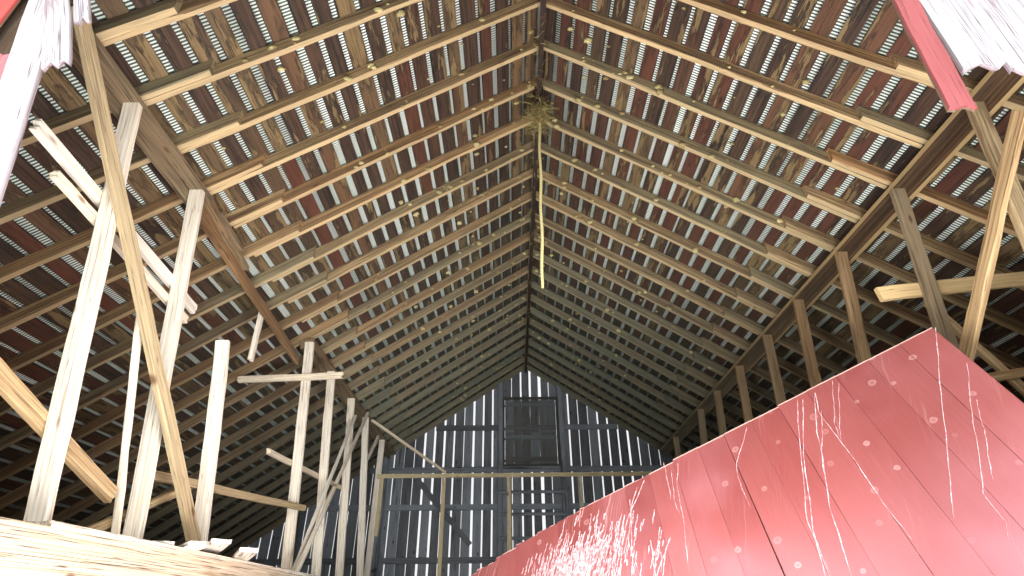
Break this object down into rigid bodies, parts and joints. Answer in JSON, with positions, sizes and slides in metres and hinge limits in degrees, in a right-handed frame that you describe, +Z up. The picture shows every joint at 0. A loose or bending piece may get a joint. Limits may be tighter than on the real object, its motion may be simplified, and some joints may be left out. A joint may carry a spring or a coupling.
{
  "type": "gable barn with hay mows",
  "caption": "Gable barn of red upright boards under a corrugated roof, its front torn open, with side mows, purlin posts, a hay track and a fallen wall piece inside.",
  "frame": {"origin": "on the ground at the centre of the footprint", "axes": "+Y along the ridge towards the back gable with the hay door, +X to the right as seen from the open front, +Z up"},
  "size_m": [13.0154, 10.439, 6.7797],
  "materials": {
    "stone": "rough fieldstone",
    "frame_wood": "bare sawn timber, weathered",
    "red_boards": "red barn paint, faded and streaked",
    "white_boards": "paint worn to bare grey-white wood",
    "roof_boards": "dark aged sheathing boards",
    "floor_boards": "worn floor boards",
    "roof_metal": "dull galvanised sheet",
    "track_iron": "rusty dark iron",
    "rope": "old hemp rope with hay dust"
  },
  "bodies": {
    "root": {"side_foundations": "stone", "end_foundations": "stone", "sill_beams": "frame_wood", "wall_posts": "frame_wood", "wall_girts": "frame_wood", "eave_plates": "frame_wood", "left_wall_boards": "red_boards", "right_wall_boards": "red_boards", "back_gable_posts": "frame_wood", "back_gable_girts": "frame_wood", "back_gable_boards": "red_boards", "front_gable_posts": "frame_wood", "front_gable_girts": "frame_wood", "front_gable_boards": "red_boards", "front_side_boards": "red_boards", "front_hanging_boards": "white_boards", "hay_door_frame": "frame_wood", "hay_door_upper": "red_boards", "hay_door_lower": "red_boards", "hay_door_ladder": "frame_wood", "left_rafters": "frame_wood", "right_rafters": "frame_wood", "ridge_board": "frame_wood", "left_sheathing": "roof_boards", "right_sheathing": "roof_boards", "left_roof_metal": "roof_metal", "right_roof_metal": "roof_metal", "ridge_cap": "roof_metal", "hay_track": "track_iron", "hay_carrier": "track_iron", "hay_rope": "rope", "left_purlin": "frame_wood", "right_purlin": "frame_wood", "left_purlin_posts": "frame_wood", "right_purlin_posts": "frame_wood", "mow_girders": "frame_wood", "mow_joists": "frame_wood", "mow_floors": "floor_boards", "mow_posts": "frame_wood", "left_loose_boards": "frame_wood", "right_braces": "frame_wood", "cross_rail": "frame_wood", "cross_studs": "frame_wood", "fallen_panel_boards": "red_boards", "fallen_panel_girts": "frame_wood"}
  },
  "joints": []
}
